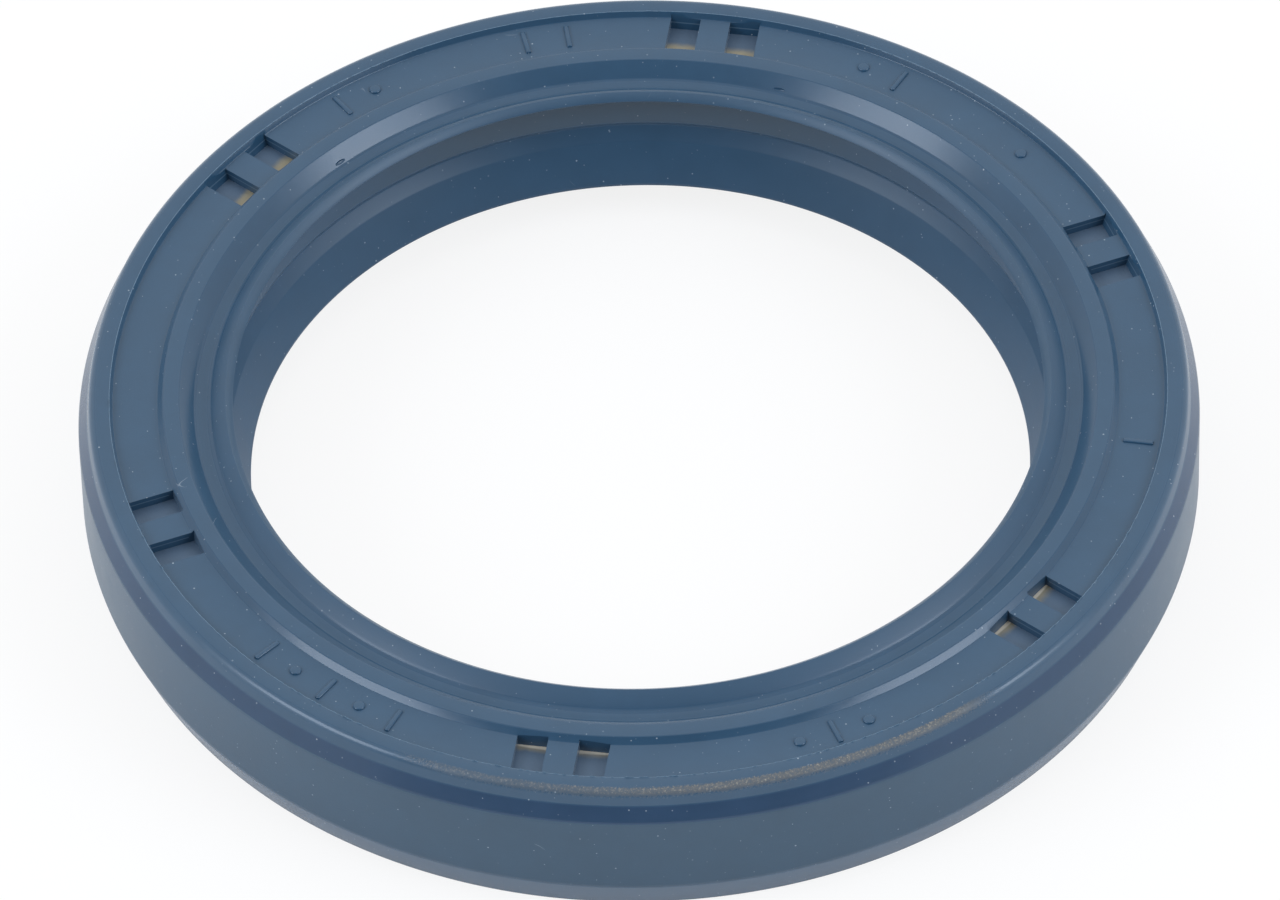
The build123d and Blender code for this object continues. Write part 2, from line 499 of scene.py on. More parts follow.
def window_pin(turn, side):
    """The block that leaves one window."""
    start = along_pin(collar_outer + collar_wall_run - collar_bite)
    end = along_pin(rim_inner - rim_wall_run + rim_bite)
    middle = ((start + end) / 2, side * pin_offset, (pin_top + recess_floor) / 2)
    deselect_all()
    bpy.ops.mesh.primitive_cube_add(size=1)
    bpy.ops.object.mode_set(mode="EDIT")
    bpy.ops.transform.resize(value=(end - start, window_width, pin_top - recess_floor))
    bpy.ops.transform.translate(value=middle)
    for vertex in edit_mesh().verts:
        vertex.select_set(vertex.co.z < middle[2])
    edit_mesh().select_flush_mode()
    depth = recess_floor - pin_bottom
    bpy.ops.mesh.extrude_region_move(TRANSFORM_OT_translate={"value": (0, 0, -depth)})
    narrower = 1 - pin_taper * depth / (end - start)
    bpy.ops.transform.resize(value=(narrower, 1, 1), center_override=(start, 0, 0))
    bpy.ops.object.mode_set(mode="OBJECT")
    pin = bpy.context.object
    pin.rotation_euler.z = turn
    bpy.ops.object.transform_apply(location=False, rotation=True, scale=False)
    return pin


def join(name, pieces):
    """Make several objects one."""
    deselect_all()
    for piece in pieces:
        piece.select_set(True)
    bpy.context.view_layer.objects.active = pieces[0]
    bpy.ops.object.join()
    bpy.context.object.name = name
    return bpy.context.object


def apply_modifier(piece, kind, **settings):
    """Add a modifier, set it and apply it at once."""
    deselect_all()
    piece.select_set(True)
    bpy.context.view_layer.objects.active = piece
    modifier = piece.modifiers.new(kind.lower(), kind)
    for name, value in settings.items():
        setattr(modifier, name, value)
    bpy.ops.object.modifier_apply(modifier=modifier.name)


pins = [
    window_pin(tau * pair / window_pairs, side)
    for pair in range(window_pairs)
    for side in (-1, 1)
]
pins = join("window_pins", pins)
apply_modifier(rubber, "BOOLEAN", operation="DIFFERENCE", solver="EXACT", object=pins)
bpy.data.objects.remove(pins)
print(f"{2 * window_pairs} windows cut, the rubber ring has {len(rubber.data.polygons)} faces")

# %% [markdown]
# ## Moulded marks
#
# Between the windows, the mould leaves small raised marks in the recess: short
# bars and round pips. They are plain ones here. Each is a cube or a cylinder with
# its upper edge bevelled, sunk a little into the recess's floor, and all of them
# are added to the ring by one boolean.

# %% Raised marks
mark_radius = 24.72
mark_rise = 0.1
mark_depth = 0.15
bar_length = 1.5
bar_width = 0.26
pip_radius = 0.3
marks = [
    # angle from the camera's right, in degrees, and kind
    (38.4, "pip"),
    (56.9, "bar"), (61.6, "pip"),
    (97.0, "bar"), (102.0, "bar"),
    (121.0, "pip"), (125.5, "bar"),
    (222.5, "bar"), (227.0, "pip"), (231.5, "bar"), (236.0, "pip"), (240.5, "bar"),
    (287.0, "pip"), (291.2, "bar"), (295.3, "pip"),
    (349.3, "bar"),
]


def raised_mark(angle, kind):
    """One bar or pip on the recess's floor."""
    deselect_all()
    turn = radians(angle + camera_azimuth)
    height = mark_rise + mark_depth
    level = recess_floor + mark_rise - height / 2
    place = (mark_radius * cos(turn), mark_radius * sin(turn), level)
    if kind == "bar":
        bpy.ops.mesh.primitive_cube_add(size=1, location=place, rotation=(0, 0, turn))
        bpy.context.object.scale = (bar_length, bar_width, height)
    else:
        bpy.ops.mesh.primitive_cylinder_add(
            vertices=24, radius=pip_radius, depth=height, location=place,
        )
    bpy.ops.object.transform_apply(location=False, rotation=False, scale=True)
    bpy.ops.object.mode_set(mode="EDIT")
    for edge in edit_mesh().edges:
        low, high = sorted(v.co.z for v in edge.verts)
        upright = high - low > height / 2
        edge.select_set(low > 0 or (upright and kind == "bar"))
    bpy.ops.mesh.bevel(offset=mark_rise * 0.7, segments=3, affect="EDGES")
    bpy.ops.object.mode_set(mode="OBJECT")
    mark = bpy.context.object
    bpy.ops.object.transform_apply(location=True, rotation=True, scale=False)
    return mark


raised = join("raised_marks", [raised_mark(angle, kind) for angle, kind in marks])
apply_modifier(rubber, "BOOLEAN", operation="UNION", solver="EXACT", object=raised)
bpy.data.objects.remove(raised)
print(f"{len(marks)} marks raised by {mark_rise} mm, {len(rubber.data.polygons)} faces")

# %% [markdown]
# Two small nicks sit in the slope inside the collar, where the mould was knocked.
# A ball pressed flat makes each of them, and a boolean takes them from the ring.

# %% Nicks
nick_radius = 21.9
nick_level = seal_width - slope_drop * (collar_inner - nick_radius) / slope_run
nick_lean = atan2(slope_drop, slope_run)
nick_size = (0.1, 0.32, 0.07)  # half its width, length and depth
nick_angles = (70, 131.5)  # from the camera's right, in degrees


def nick_ball(angle):
    """A flattened ball that lies along the slope."""
    turn = radians(angle + camera_azimuth)
    place = (nick_radius * cos(turn), nick_radius * sin(turn), nick_level)
    deselect_all()
    bpy.ops.mesh.primitive_uv_sphere_add(segments=24, ring_count=12, radius=1)
    ball = bpy.context.object
    ball.scale = nick_size
    bpy.ops.object.transform_apply(location=False, rotation=False, scale=True)
    ball.rotation_euler = (0, -nick_lean, turn)
    ball.location = place
    bpy.ops.object.transform_apply(location=True, rotation=True, scale=False)
    return ball


nicks = join("nicks", [nick_ball(angle) for angle in nick_angles])
apply_modifier(rubber, "BOOLEAN", operation="DIFFERENCE", solver="EXACT", object=nicks)
bpy.data.objects.remove(nicks)
print(f"{len(nick_angles)} nicks, {len(rubber.data.polygons)} faces")

# %% [markdown]
# Where the mould's halves meet, at the recess's outer edge, a little rubber creeps
# into the gap and stays as flash: a thin, ragged fin. It is a fine ring of its own
# whose crest is shaken up and down by a noise texture.

# %% Flash
flash_width = 0.03
flash_rise = 0.02
flash_foot = seal_width - 0.06

pen_down("recess_flash", rim_inner - flash_width / 2, flash_foot)
pen_to(rim_inner + flash_width, flash_foot)
pen_to(rim_inner + flash_width * 0.7, seal_width + flash_rise)
pen_to(rim_inner + flash_width * 0.3, seal_width + flash_rise)
pen_close()
flash = spin_section(1800)
crest = flash.vertex_groups.new(name="crest")
crest.add([v.index for v in flash.data.vertices if v.co.z > seal_width], 1, "REPLACE")
ragged = bpy.data.textures.new("ragged", "CLOUDS")
ragged.noise_scale = 0.22
apply_modifier(
    flash, "DISPLACE", texture=ragged, texture_coords="LOCAL", direction="Z",
    strength=0.16, mid_level=0.6, vertex_group="crest",
)
print(f"flash of {len(flash.data.polygons)} faces")

# %% [markdown]
# ## Garter spring
#
# The spring is a coil of fine wire, wound tight and bent into a ring. It is made
# the same way: one circle of wire is swept along a straight helix by the screw
# modifier, and the straight spring is bent full circle by a simple deform
# modifier. At one end a few turns are narrower, and they sit inside the other end,
# which is how such a spring is joined.

# %% Spring
wire_radius = 0.16
coil_middle = coil_radius - wire_radius
coil_length = tau * coil_ring
wire_turns = int(coil_length / (2 * wire_radius * 1.02))
wire_pitch = coil_length / wire_turns
joint_turns = 5
turn_steps = 12

deselect_all()
bpy.ops.mesh.primitive_circle_add(
    vertices=6, radius=wire_radius, location=(0, 0, coil_middle), rotation=(pi / 2, 0, 0),
)
spring = bpy.context.object
spring.name = "spring_coil"
bpy.ops.object.transform_apply(location=True, rotation=True, scale=True)
apply_modifier(
    spring, "SCREW", axis="X", angle=tau, screw_offset=wire_pitch,
    iterations=wire_turns + joint_turns, steps=turn_steps, render_steps=turn_steps,
    use_normal_calculate=True,
)
straight_length = wire_pitch * (wire_turns + joint_turns)
print(f"{wire_turns + joint_turns} turns make {straight_length:.1f} mm of straight spring")

# %% Spring joint and bend
joint_narrowing = 0.55

deselect_all()
spring.select_set(True)
bpy.ops.object.mode_set(mode="EDIT")
mesh = edit_mesh()
for vertex in mesh.verts:
    vertex.select_set(vertex.co.x > coil_length)
mesh.select_flush_mode()
bpy.ops.transform.resize(
    value=(1, joint_narrowing, joint_narrowing), center_override=(coil_length, 0, 0),
)
for vertex in mesh.verts:
    vertex.select_set(any(edge.is_boundary for edge in vertex.link_edges))
mesh.select_flush_mode()
bpy.ops.mesh.edge_face_add()
bpy.ops.mesh.select_all(action="SELECT")
bpy.ops.mesh.normals_make_consistent(inside=False)
bpy.ops.object.mode_set(mode="OBJECT")
places = [vertex.co.x for vertex in spring.data.vertices]
bent_length = max(places) - min(places)
apply_modifier(
    spring, "SIMPLE_DEFORM", deform_method="BEND", deform_axis="Z", angle=bent_length / coil_ring,
)
spring.location = (0, -coil_ring, coil_level)
print(f"bent by {degrees(bent_length / coil_ring):.1f} degrees")

# %% [markdown]
# ## Shared effects
#
# Each finish needs to know where on the ring it is: how far from the axis, how
# high, and how far round. A node group works that out of the object coordinates,
# which are the frame's own metres, and hands it on in millimetres and degrees.

# %% Group tools
def new_material(name):
    """A material with an empty node tree."""
    material = bpy.data.materials.new(name)
    material.use_nodes = True
    material.node_tree.nodes.clear()
    return material


def srgb(red, green, blue):
    """A colour written as 0 to 255, as the linear values that a socket takes."""
    def linear(c):
        c = c / 255
        return c / 12.92 if c <= 0.04045 else ((c + 0.055) / 1.055) ** 2.4
    return (linear(red), linear(green), linear(blue), 1)


def new_group(name, inputs, outputs):
    """A shader node group with named sockets, and its input and output nodes."""
    group = bpy.data.node_groups.new(name, "ShaderNodeTree")
    for socket, (kind, value) in inputs.items():
        made = group.interface.new_socket(socket, in_out="INPUT", socket_type=kind)
        if value is not None:
            made.default_value = value
    for socket, kind in outputs.items():
        group.interface.new_socket(socket, in_out="OUTPUT", socket_type=kind)
    return group, group.nodes.new("NodeGroupInput"), group.nodes.new("NodeGroupOutput")


def calculate(tree, operation, *inputs, clamp=False):
    """The result of a math node on values or links."""
    node = add_node(
        tree, "ShaderNodeMath", dict(enumerate(inputs)), operation=operation, use_clamp=clamp,
    )
    return node.outputs[0]


def ramp(tree, value, low, high, start=0.0, end=1.0, kind="SMOOTHSTEP"):
    """A value stretched from one range to another."""
    node = add_node(
        tree, "ShaderNodeMapRange",
        {"Value": value, "From Min": low, "From Max": high, "To Min": start, "To Max": end},
        interpolation_type=kind,
    )
    return node.outputs["Result"]


def blend(tree, factor, one, two):
    """A colour between two colours."""
    node = add_node(tree, "ShaderNodeMix", data_type="RGBA")
    for index, value in ((0, factor), (6, one), (7, two)):
        if isinstance(value, bpy.types.NodeSocket):
            tree.links.new(value, node.inputs[index])
        else:
            node.inputs[index].default_value = value
    return node.outputs[2]


def use_group(tree, group, **inputs):
    """A node that holds a group, with its own values."""
    node = tree.nodes.new("ShaderNodeGroup")
    node.node_tree = group
    for name, value in inputs.items():
        name = name.replace("_", " ")
        if isinstance(value, bpy.types.NodeSocket):
            tree.links.new(value, node.inputs[name])
        else:
            node.inputs[name].default_value = value
    return node


print("the node tools are ready")

# %% Group: places on the ring
ring_places, _, out = new_group(
    "ring_places", {},
    {
        "Point": "NodeSocketVector", "Radius": "NodeSocketFloat",
        "Height": "NodeSocketFloat", "Turn": "NodeSocketFloat", "Upward": "NodeSocketFloat",
    },
)
coordinates = ring_places.nodes.new("ShaderNodeTexCoord")
in_millimetres = add_node(
    ring_places, "ShaderNodeVectorMath",
    {0: coordinates.outputs["Object"], "Scale": 1 / MM}, operation="SCALE",
)
parts = add_node(ring_places, "ShaderNodeSeparateXYZ", {0: in_millimetres.outputs[0]})
x, y, z = parts.outputs
squares = calculate(
    ring_places, "ADD", calculate(ring_places, "MULTIPLY", x, x),
    calculate(ring_places, "MULTIPLY", y, y),
)
turn = calculate(ring_places, "DEGREES", calculate(ring_places, "ARCTAN2", y, x))
facing = add_node(ring_places, "ShaderNodeSeparateXYZ", {0: coordinates.outputs["Normal"]})
ring_places.links.new(in_millimetres.outputs[0], out.inputs["Point"])
ring_places.links.new(calculate(ring_places, "SQRT", squares), out.inputs["Radius"])
ring_places.links.new(z, out.inputs["Height"])
ring_places.links.new(turn, out.inputs["Turn"])
ring_places.links.new(facing.outputs["Z"], out.inputs["Upward"])
print("group ring_places made")

# %% [markdown]
# A band is a stretch of a value, such as a ring of the face between two radii,
# with soft or crisp borders. Wear, polish and the joint of the spring are bands.

# %% Group: band
band, inp, out = new_group(
    "band",
    {
        "Value": ("NodeSocketFloat", 0), "From": ("NodeSocketFloat", 0),
        "To": ("NodeSocketFloat", 1), "Softness": ("NodeSocketFloat", 0.1),
    },
    {"Mask": "NodeSocketFloat"},
)
value, start, end, softness = inp.outputs[:4]
rise = calculate(band, "DIVIDE", calculate(band, "SUBTRACT", value, start), softness)
fall = calculate(band, "DIVIDE", calculate(band, "SUBTRACT", end, value), softness)
rise = ramp(band, rise, -0.5, 0.5)
fall = ramp(band, fall, -0.5, 0.5)
band.links.new(calculate(band, "MULTIPLY", rise, fall), out.inputs["Mask"])
print("group band made")

# %% [markdown]
# Moulded and coated surfaces have a fine grain, and their tone drifts a little
# from place to place. One noise gives the grain, and a broad one the drift.

# %% Group: grain
grain, inp, out = new_group(
    "grain",
    {"Point": ("NodeSocketVector", None), "Grain Size": ("NodeSocketFloat", 0.12),
     "Cloud Size": ("NodeSocketFloat", 2.5)},
    {"Relief": "NodeSocketFloat", "Cloud": "NodeSocketFloat"},
)
grain_scale = calculate(grain, "DIVIDE", 1, inp.outputs["Grain Size"])
fine = add_node(
    grain, "ShaderNodeTexNoise",
    {"Vector": inp.outputs["Point"], "Scale": grain_scale, "Detail": 3, "Roughness": 0.6},
)
cloud_scale = calculate(grain, "DIVIDE", 1, inp.outputs["Cloud Size"])
broad = add_node(
    grain, "ShaderNodeTexNoise",
    {"Vector": inp.outputs["Point"], "Scale": cloud_scale, "Detail": 4, "Roughness": 0.65},
)
grain.links.new(fine.outputs["Fac"], out.inputs["Relief"])
grain.links.new(ramp(grain, broad.outputs["Fac"], 0.3, 0.7, kind="LINEAR"), out.inputs["Cloud"])
print("group grain made")

# %% [markdown]
# Rubber draws dust. Most of it is specks: small balls that stand in the cells of a
# Voronoi texture, of which the surface cuts a few. Here and there lies a short
# hair, which is a thin contour line of a noise, kept only inside small patches.

# %% Group: dust
dust, inp, out = new_group(
    "dust",
    {"Point": ("NodeSocketVector", None), "Spacing": ("NodeSocketFloat", 0.8),
     "Size": ("NodeSocketFloat", 0.05)},
    {"Specks": "NodeSocketFloat", "Hairs": "NodeSocketFloat"},
)
cells = add_node(
    dust, "ShaderNodeTexVoronoi",
    {"Vector": inp.outputs["Point"], "Scale": calculate(dust, "DIVIDE", 1, inp.outputs["Spacing"])},
)
distance = calculate(dust, "MULTIPLY", cells.outputs["Distance"], inp.outputs["Spacing"])
chance = add_node(dust, "ShaderNodeSeparateColor", {"Color": cells.outputs["Color"]})
speck_size = calculate(dust, "MULTIPLY", inp.outputs["Size"], chance.outputs["Red"])
nearness = calculate(dust, "SUBTRACT", speck_size, distance)
specks = ramp(dust, nearness, -0.008, 0.008)
strength_of_speck = ramp(dust, chance.outputs["Green"], 0.2, 1.0, 0.15, 1.0, kind="LINEAR")
dust.links.new(calculate(dust, "MULTIPLY", specks, strength_of_speck), out.inputs["Specks"])

hair_spacing = 4.2
hair_cells = add_node(
    dust, "ShaderNodeTexVoronoi", {"Vector": inp.outputs["Point"], "Scale": 1 / hair_spacing},
)
hair_chance = add_node(dust, "ShaderNodeSeparateColor", {"Color": hair_cells.outputs["Color"]})
hair_patch = ramp(
    dust, calculate(dust, "MULTIPLY", hair_cells.outputs["Distance"], hair_spacing), 0.6, 0.45,
)
hair_waves = add_node(
    dust, "ShaderNodeTexNoise", {"Vector": inp.outputs["Point"], "Scale": 0.55, "Detail": 0},
)
off_contour = calculate(
    dust, "ABSOLUTE", calculate(dust, "SUBTRACT", hair_waves.outputs["Fac"], 0.5),
)
hair_line = ramp(dust, off_contour, 0.005, 0.002)
hairs = calculate(dust, "MULTIPLY", hair_line, hair_patch)
hairs = calculate(dust, "MULTIPLY", hairs, ramp(dust, hair_chance.outputs["Red"], 0.5, 0.55))
dust.links.new(hairs, out.inputs["Hairs"])
print("group dust made")

# %% [markdown]
# The mould is turned on a lathe, and the tool leaves fine rings in its steel, which
# the rubber and the pressed sheet both copy. A noise in one dimension, read across
# the rings, gives lines that run all the way round.

# %% Group: turned lines
turned, inp, out = new_group(
    "turned_lines",
    {"Radius": ("NodeSocketFloat", 0), "Height": ("NodeSocketFloat", 0),
     "Pitch": ("NodeSocketFloat", 0.1)},
    {"Relief": "NodeSocketFloat"},
)
across = calculate(turned, "SUBTRACT", inp.outputs["Radius"], inp.outputs["Height"])
lines = add_node(
    turned, "ShaderNodeTexNoise",
    {"W": calculate(turned, "DIVIDE", across, inp.outputs["Pitch"]), "Scale": 1, "Detail": 2},
    noise_dimensions="1D",
)
turned.links.new(lines.outputs["Fac"], out.inputs["Relief"])
print("group turned_lines made")

# %% [markdown]
# ## Rubber
#
# The nitrile rubber is a greyed steel blue. The mould is blasted where the seal
# is flat or cylindrical, and there the skin is matt and paler. The bevels, walls
# and lips come off polished steel, so they are smoother and deeper in colour. The
# level faces are told by the skin's direction and the cylinder by its radius. The
# bevel that faces outwards under the rim is painted deepest: painted shade, for
# the dark side of the room that it mirrors. The pocket under the dust lip is
# greyer on the side away from the camera.
#
# The near edge of the rim has been rubbed on something: a rough, brown-grey band
# with pale crumbs runs along it.

# %% Rubber colours
matt_blue = srgb(51, 80, 104)
smooth_blue = srgb(42, 75, 101)
bevel_painted_shade_blue = srgb(35, 63, 91)
cylinder_blue = srgb(49, 77, 98)
pocket_grey = srgb(56, 76, 90)
painted_light_blue = srgb(112, 138, 158)
rubbed_brown = srgb(104, 100, 92)
crumb_beige = srgb(178, 171, 158)
dust_white = srgb(190, 200, 208)

rubber_finish = new_material("seal_rubber")
tree = rubber_finish.node_tree
places = use_group(tree, ring_places)
point, radius_here = places.outputs["Point"], places.outputs["Radius"]
height_here, turn_here = places.outputs["Height"], places.outputs["Turn"]
skin = use_group(tree, grain, Point=point, Grain_Size=0.1, Cloud_Size=2.2)

level = ramp(tree, places.outputs["Upward"], 0.95, 0.99)
outside = ramp(tree, radius_here, seal_radius - 0.04, seal_radius - 0.01)
matt = calculate(tree, "MAXIMUM", level, outside)
# From just inside the rim's outer edge outwards, the roundings and the lower chamfer take the paler
# matt blue; on the lower rounding this is in part a painted reflection of the lit table.
under_rim = ramp(tree, radius_here, rim_outer - 0.3, rim_outer - 0.2)
bevel_shade_mask = calculate(
    tree, "MULTIPLY", ramp(tree, radius_here, seal_radius - shoulder_run, seal_radius - 0.4),
    ramp(tree, height_here, seal_width / 2, seal_width / 2 + 0.5),
)
lip_face = calculate(
    tree, "MULTIPLY", ramp(tree, radius_here, shaft_radius + 0.26, shaft_radius + 0.22),
    ramp(tree, height_here, seal_width - 0.5, seal_width - 0.4),
)
paler = calculate(tree, "MAXIMUM", matt, lip_face)
colour = blend(tree, calculate(tree, "MAXIMUM", under_rim, paler), smooth_blue, matt_blue)
# The bevel under the rim is blended to a darker blue: painted shade.
colour = blend(tree, calculate(tree, "SUBTRACT", bevel_shade_mask, matt, clamp=True), colour, bevel_painted_shade_blue)
colour = blend(tree, outside, colour, cylinder_blue)
cloud = ramp(tree, skin.outputs["Cloud"], 0, 1, -0.5, 0.5, kind="LINEAR")
lighter = add_node(
    tree, "ShaderNodeHueSaturation",
    {"Color": colour, "Value": calculate(tree, "MULTIPLY_ADD", cloud, 0.1, 1.0)},
)
colour = lighter.outputs[0]

# The pocket under the dust lip is blended towards grey, only on the side away from the camera.
pocket = use_group(
    tree, band, Value=height_here, From=seal_width - 2.6, To=seal_width - 1.0, Softness=0.3,
)
in_pocket = calculate(
    tree, "MULTIPLY", pocket.outputs["Mask"],
    ramp(tree, radius_here, shaft_radius + 1.2, shaft_radius + 1.1),
)
pocket_side = use_group(tree, band, Value=turn_here, From=36, To=106, Softness=30)
in_pocket = calculate(tree, "MULTIPLY", in_pocket, pocket_side.outputs["Mask"])
colour = blend(tree, calculate(tree, "MULTIPLY", in_pocket, 0.6), colour, pocket_grey)
print("the rubber's own colours are mixed")

# %% [markdown]
# The flash is painted paler: painted light, for the light that comes through so
# thin a fin. The same pale line runs along the window walls, half-way down, where
# two parts of a pin meet; there it is a painted highlight, as if light caught a
# small step. It stops short of the collar.

# %% Flash and pin lines
on_flash = use_group(
    tree, band, Value=radius_here, From=rim_inner - 0.01, To=rim_inner + 0.035, Softness=0.01,
)
above_face = ramp(tree, height_here, seal_width - 0.01, seal_width)
fin = calculate(tree, "MULTIPLY", on_flash.outputs["Mask"], above_face)
pin_line = use_group(
    tree, band, Value=height_here, From=recess_floor - 0.3, To=recess_floor - 0.24, Softness=0.03,
)
in_window = use_group(
    tree, band, Value=radius_here, From=collar_outer + 0.45, To=rim_inner, Softness=0.02,
)
pin_line = calculate(tree, "MULTIPLY", pin_line.outputs["Mask"], in_window.outputs["Mask"])
# Both pale lines are painted light: the fin's and the pin line's.
pale = calculate(tree, "MAXIMUM", fin, calculate(tree, "MULTIPLY", pin_line, 0.5))
colour = blend(tree, calculate(tree, "MULTIPLY", pale, 0.8), colour, painted_light_blue)

# %% [markdown]
# The rubbed band lies on the rounding of the rim's outer edge, on one side only.
# Two bands, one across the rounding and one round the seal, say where it is, and a
# noise tears its borders. It is strongest towards one end. Pale crumbs stick to its
# upper half, and below them the rubber is only stained.

# %% Rubbed band
rub_noise = add_node(
    tree, "ShaderNodeTexNoise", {"Vector": point, "Scale": 9, "Detail": 5, "Roughness": 0.75},
)
torn = calculate(tree, "SUBTRACT", rub_noise.outputs["Fac"], 0.5)
rub_across = use_group(
    tree, band, Value=calculate(tree, "MULTIPLY_ADD", torn, 0.4, radius_here),
    From=rim_outer - 0.3, To=rim_outer + 0.03, Softness=0.12,
)
rub_round = use_group(
    tree, band, Value=calculate(tree, "MULTIPLY_ADD", torn, 14, turn_here),
    From=-134, To=-74, Softness=6,
)
rub_strength = ramp(tree, turn_here, -132, -100, 0.45, 1.0)
rubbed = calculate(tree, "MULTIPLY", rub_across.outputs["Mask"], rub_round.outputs["Mask"])
rubbed = calculate(
    tree, "MULTIPLY", rubbed, ramp(tree, height_here, seal_width - 0.55, seal_width - 0.4),
)
rubbed = calculate(tree, "MULTIPLY", rubbed, rub_strength)
rub_patch = ramp(tree, rub_noise.outputs["Fac"], 0.3, 0.62, 0.35, 1.0)
rubbed_look = calculate(tree, "MULTIPLY", rubbed, rub_patch)
crumbs = calculate(
    tree, "MULTIPLY", ramp(tree, rub_noise.outputs["Fac"], 0.5, 0.74),
    ramp(tree, height_here, seal_width - 0.26, seal_width - 0.14),
)
rub_tone = blend(tree, crumbs, rubbed_brown, crumb_beige)
colour = blend(tree, calculate(tree, "MULTIPLY", rubbed_look, 0.8), colour, rub_tone)

# %% Dust on the rubber
dirt = use_group(tree, dust, Point=point, Spacing=0.38, Size=0.045)
dusty = calculate(
    tree, "MAXIMUM", dirt.outputs["Specks"],
    calculate(tree, "MULTIPLY", dirt.outputs["Hairs"], 0.5),
)
colour = blend(tree, calculate(tree, "MULTIPLY", dusty, 0.55), colour, dust_white)

# %% [markdown]
# Gloss follows the same map. The blasted faces scatter the light most, the outside
# cylinder less, and the polished bevels and lips least, with the mould's turned
# lines in them. The dust lip's upper face and the cone inside the bore are duller
# than the bevels. The rubbed band is dull and rough.

# %% Rubber gloss and relief
polished_roughness = 0.2
duller_level = 0.25
duller_outside = 0.1
duller_dust_lip = 0.22
duller_cone = 0.2
roughness = calculate(tree, "MULTIPLY_ADD", level, duller_level, polished_roughness)
roughness = calculate(tree, "MULTIPLY_ADD", outside, duller_outside, roughness)
dust_lip = calculate(
    tree, "MULTIPLY", ramp(tree, radius_here, shaft_radius + 1.0, shaft_radius + 0.8),
    ramp(tree, height_here, seal_width - 0.7, seal_width - 0.6),
)
roughness = calculate(tree, "MULTIPLY_ADD", dust_lip, duller_dust_lip, roughness)
cone = calculate(
    tree, "MULTIPLY", ramp(tree, radius_here, shaft_radius + 0.8, shaft_radius + 0.7),
    ramp(tree, height_here, seal_width - 2.6, seal_width - 2.75),
)
roughness = calculate(tree, "MULTIPLY_ADD", cone, duller_cone, roughness)
roughness = calculate(tree, "MULTIPLY_ADD", cloud, 0.05, roughness)
roughness = calculate(tree, "MULTIPLY_ADD", rubbed_look, 0.4, roughness)
lathe = use_group(tree, turned, Radius=radius_here, Height=height_here, Pitch=0.09)
lathe_relief = calculate(
    tree, "MULTIPLY", lathe.outputs["Relief"], ramp(tree, matt, 0, 1, 0.35, 0.1, kind="LINEAR"),
)
skin_relief = calculate(
    tree, "MULTIPLY", skin.outputs["Relief"], ramp(tree, matt, 0, 1, 0.4, 1.0, kind="LINEAR"),
)
relief = calculate(tree, "ADD", skin_relief, lathe_relief)
relief = calculate(
    tree, "MULTIPLY_ADD", calculate(tree, "MULTIPLY", rubbed, rub_noise.outputs["Fac"]), 6, relief,
)
bump = add_node(
    tree, "ShaderNodeBump", {"Height": relief, "Distance": 0.012 * MM, "Strength": 0.35},
)
shader = add_node(
    tree, "ShaderNodeBsdfPrincipled",
    {
        "Base Color": colour, "Roughness": roughness, "Normal": bump.outputs[0], "IOR": 1.5,
        "Sheen Weight": 0.18, "Sheen Roughness": 0.35,
    },
)
add_node(tree, "ShaderNodeOutputMaterial", {"Surface": shader.outputs[0]})
print("rubber finish made")

# %% [markdown]
# ## Steel of the case
#
# The case is phosphated sheet steel, which is bare on the inside of the leg and
# under the flange. A blue-grey film of rubber has crept over the flange in the
# windows. Beside the collar the beige bonding coat is bare, on the
# two sides of the seal where it was laid on thickest, and its border is a circle
# that lies a third of a millimetre off the seal's axis.

# %% Case finish
film_grey = srgb(84, 105, 127)
coat_beige = srgb(154, 147, 126)
# The pale coat tone below is a painted highlight.
coat_painted_highlight = srgb(216, 207, 190)
phosphate_grey = srgb(142, 143, 141)
coat_middle = (0.12, 0.33)  # mm off the axis
case_finish = new_material("case_sheet")
tree = case_finish.node_tree
places = use_group(tree, ring_places)
point = places.outputs["Point"]
skin = use_group(tree, grain, Point=point, Grain_Size=0.08, Cloud_Size=1.2)
off_axis = add_node(
    tree, "ShaderNodeVectorMath", {0: point, 1: (*coat_middle, 0)}, operation="SUBTRACT",
)
parts = add_node(tree, "ShaderNodeSeparateXYZ", {0: off_axis.outputs[0]})
coat_x, coat_y, _ = parts.outputs
coat_radius = calculate(
    tree, "SQRT",
    calculate(
        tree, "ADD", calculate(tree, "MULTIPLY", coat_x, coat_x),
        calculate(tree, "MULTIPLY", coat_y, coat_y),
    ),
)
coat_edge = calculate(tree, "MULTIPLY_ADD", skin.outputs["Cloud"], 0.2, coat_radius)
coat = ramp(tree, coat_edge, 24.45, 23.95)
thick_sides = ramp(tree, calculate(tree, "ABSOLUTE", coat_y), 9, 16)
coat = calculate(tree, "MULTIPLY", coat, thick_sides)
# Next to the collar's foot the coat is painted paler: a painted highlight, which also lifts the
# shade that falls at the foot of the wall.
foot = ramp(tree, places.outputs["Radius"], 23.7, 23.6)
coat_tone = blend(tree, foot, coat_beige, coat_painted_highlight)
colour = blend(tree, coat, film_grey, coat_tone)
bare = ramp(tree, places.outputs["Height"], case_top - 0.3, case_top - 0.4)
colour = blend(tree, bare, colour, phosphate_grey)
sheet_lines = use_group(
    tree, turned, Radius=places.outputs["Radius"], Height=places.outputs["Height"], Pitch=0.14,
)
bump = add_node(
    tree, "ShaderNodeBump",
    {"Height": calculate(tree, "ADD", skin.outputs["Relief"], sheet_lines.outputs["Relief"]),
     "Distance": 0.01 * MM, "Strength": 0.4},
)
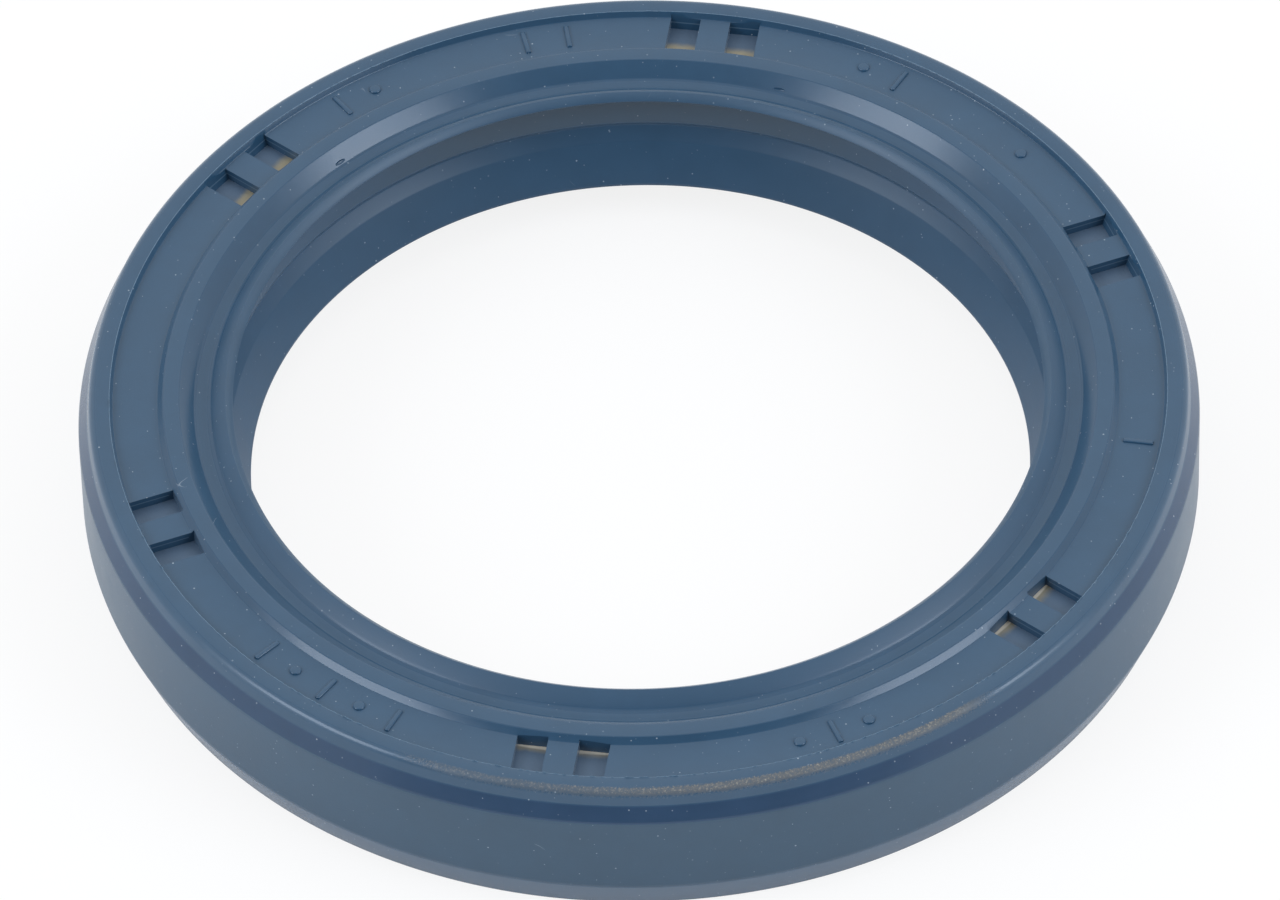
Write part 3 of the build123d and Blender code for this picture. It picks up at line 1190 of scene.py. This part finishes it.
shader = add_node(
    tree, "ShaderNodeBsdfPrincipled",
    {
        "Base Color": colour, "Normal": bump.outputs[0],
        "Metallic": calculate(tree, "MULTIPLY_ADD", bare, 0.6, 0.3),
        "Roughness": ramp(tree, skin.outputs["Relief"], 0, 1, 0.35, 0.6, kind="LINEAR"),
    },
)
add_node(tree, "ShaderNodeOutputMaterial", {"Surface": shader.outputs[0]})
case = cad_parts["metal_case"]
case.data.materials.clear()
case.data.materials.append(case_finish)
print("case finish made")

# %% [markdown]
# ## Steel of the spring
#
# The spring is drawn wire, bright and a little streaked along its length.

# %% Spring finish
wire_steel = srgb(176, 174, 170)
wire_streak = srgb(120, 112, 100)
spring_finish = new_material("spring_wire")
tree = spring_finish.node_tree
places = use_group(tree, ring_places)
skin = use_group(tree, grain, Point=places.outputs["Point"], Grain_Size=0.05, Cloud_Size=1.5)
colour = blend(
    tree, calculate(tree, "MULTIPLY", skin.outputs["Cloud"], 0.4), wire_steel, wire_streak,
)
shader = add_node(
    tree, "ShaderNodeBsdfPrincipled",
    {
        "Base Color": colour, "Metallic": 1.0,
        "Roughness": ramp(tree, skin.outputs["Relief"], 0, 1, 0.2, 0.4, kind="LINEAR"),
    },
)
add_node(tree, "ShaderNodeOutputMaterial", {"Surface": shader.outputs[0]})
print("spring finish made")

# %% [markdown]
# ## Finishing a piece
#
# A finished piece is shrunk to metres, shaded smooth except at its sharp edges,
# given its material, and told which body it rides on. The seal has no
# joint, so its only body is the root.

# %% Finish helper
def finish_piece(piece, finish, node=None, sharp=40):
    """Shrink, shade and hand over one piece."""
    deselect_all()
    piece.select_set(True)
    bpy.context.view_layer.objects.active = piece
    piece.location *= MM
    piece.scale = (MM, MM, MM)
    bpy.ops.object.transform_apply(location=True, rotation=True, scale=True)
    bpy.ops.object.shade_smooth_by_angle(angle=radians(sharp))
    piece.data.materials.clear()
    piece.data.materials.append(finish)
    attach(piece, "root")
    if node:
        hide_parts(node)
    print(f"{piece.name}: {len(piece.data.polygons)} faces")

# %% Hand over the pieces
finish_piece(rubber, rubber_finish, "rubber_body")
finish_piece(flash, rubber_finish)
finish_piece(spring, spring_finish, "garter_spring")
